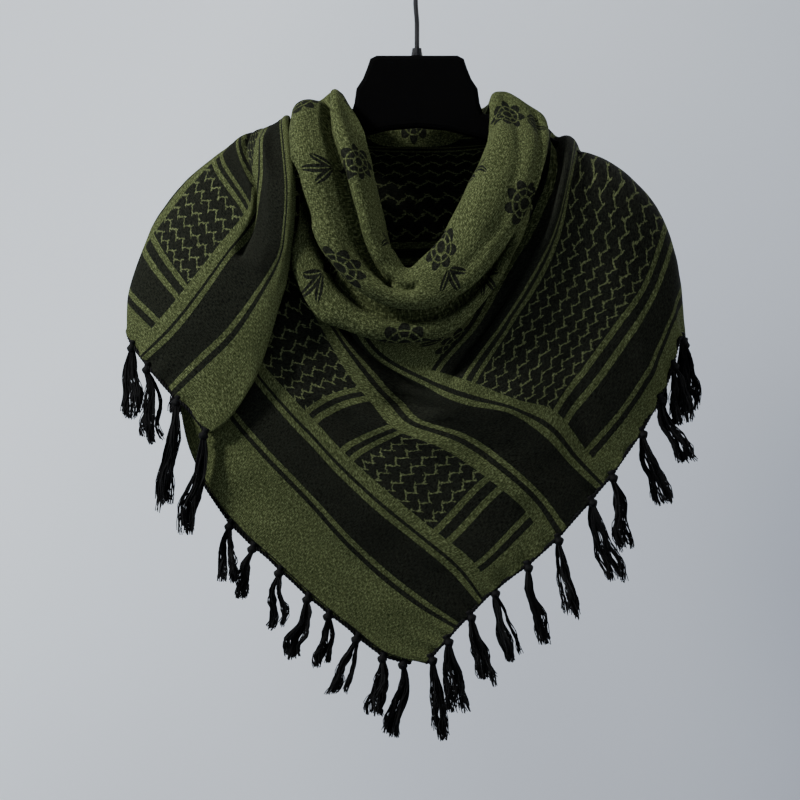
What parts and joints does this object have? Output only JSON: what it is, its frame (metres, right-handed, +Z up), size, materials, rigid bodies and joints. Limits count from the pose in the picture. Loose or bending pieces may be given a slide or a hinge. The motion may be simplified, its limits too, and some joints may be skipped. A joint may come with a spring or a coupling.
{
  "type": "shemagh scarf on a hanger",
  "caption": "Square fringed cotton scarf, folded on the diagonal and wrapped round the neck of a flocked display hanger, point to the front, with a rolled collar and knotted tassels.",
  "frame": {"origin": "the inner top of the hook's eye, where it rests on a rail", "axes": "+Z up, along the longest extent; -Y to the front, where the point hangs; X across the shoulders; metres"},
  "size_m": [0.538, 0.1704, 0.7527],
  "materials": {
    "cloth": "soft woven cotton, olive and black",
    "tassel_yarn": "black cotton yarn, knotted, loose ends",
    "flock": "black flock, matt",
    "hook_steel": "black, satin"
  },
  "bodies": {
    "root": {"front_drape": "cloth", "right_shoulder": "cloth", "back_drape": "cloth", "shoulder_flap": "cloth", "cowl": "cloth", "neck_roll": "cloth", "neck_roll_back": "cloth", "under_layer": "cloth", "tassel_right_01": "tassel_yarn", "tassel_right_02": "tassel_yarn", "tassel_right_03": "tassel_yarn", "tassel_right_04": "tassel_yarn", "tassel_right_05": "tassel_yarn", "tassel_right_06": "tassel_yarn", "tassel_right_07": "tassel_yarn", "tassel_right_08": "tassel_yarn", "tassel_right_09": "tassel_yarn", "tassel_right_10": "tassel_yarn", "tassel_right_11": "tassel_yarn", "tassel_back_01": "tassel_yarn", "tassel_back_02": "tassel_yarn", "tassel_back_03": "tassel_yarn", "tassel_back_04": "tassel_yarn", "tassel_back_05": "tassel_yarn", "tassel_back_06": "tassel_yarn", "tassel_back_07": "tassel_yarn", "tassel_back_08": "tassel_yarn", "tassel_back_09": "tassel_yarn", "tassel_back_10": "tassel_yarn", "tassel_back_11": "tassel_yarn", "tassel_back_12": "tassel_yarn", "tassel_back_13": "tassel_yarn", "tassel_back_14": "tassel_yarn", "tassel_flap_01": "tassel_yarn", "tassel_flap_02": "tassel_yarn", "tassel_flap_03": "tassel_yarn", "tassel_flap_04": "tassel_yarn", "tassel_hem_01": "tassel_yarn", "tassel_hem_02": "tassel_yarn", "tassel_hem_03": "tassel_yarn", "tassel_hem_04": "tassel_yarn", "tassel_hem_05": "tassel_yarn", "tassel_hem_06": "tassel_yarn", "tassel_hem_07": "tassel_yarn", "tassel_hem_08": "tassel_yarn", "hanger_board": "flock", "hook": "hook_steel"}
  },
  "joints": []
}
